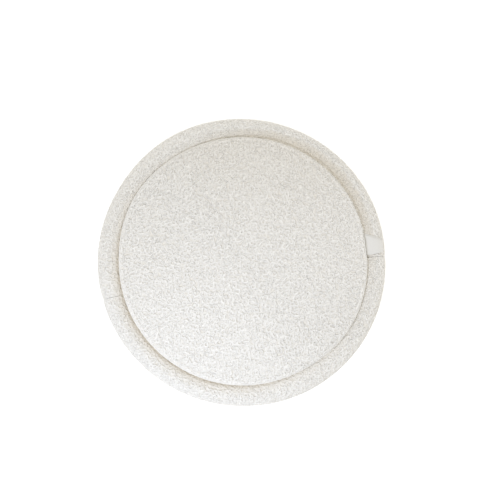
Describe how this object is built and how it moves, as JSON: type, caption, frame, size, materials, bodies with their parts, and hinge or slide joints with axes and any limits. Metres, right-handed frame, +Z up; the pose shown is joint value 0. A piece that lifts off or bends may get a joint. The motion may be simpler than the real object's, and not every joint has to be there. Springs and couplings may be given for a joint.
{
  "type": "storage ottoman",
  "caption": "Round storage ottoman in cream boucle: padded drum with a rolled rim, an inset cushioned lid that lifts off by a pull tab, and an empty space inside.",
  "frame": {"origin": "on the floor, under the middle of the drum", "axes": "+Z up; +X towards the pull tab, eight degrees short of it; +Y towards the back panel, up in the picture"},
  "size_m": [0.42, 0.419, 0.4],
  "materials": {
    "boucle": "looped cream boucle pile over foam",
    "tape": "plain-woven cream tape, folded double",
    "board": "bare pale board, sanded"
  },
  "bodies": {
    "drum": {"back_panel": "boucle", "front_panel": "boucle", "base_panel": "board", "lid_ledge": "board"},
    "lid": {"lid_pad": "boucle", "pull_tab": "tape"}
  },
  "joints": [
    {"name": "lid_lift", "type": "slide", "parent": "drum", "child": "lid", "axis": [0, 0, 1], "range_m": [0, 0.3]}
  ]
}
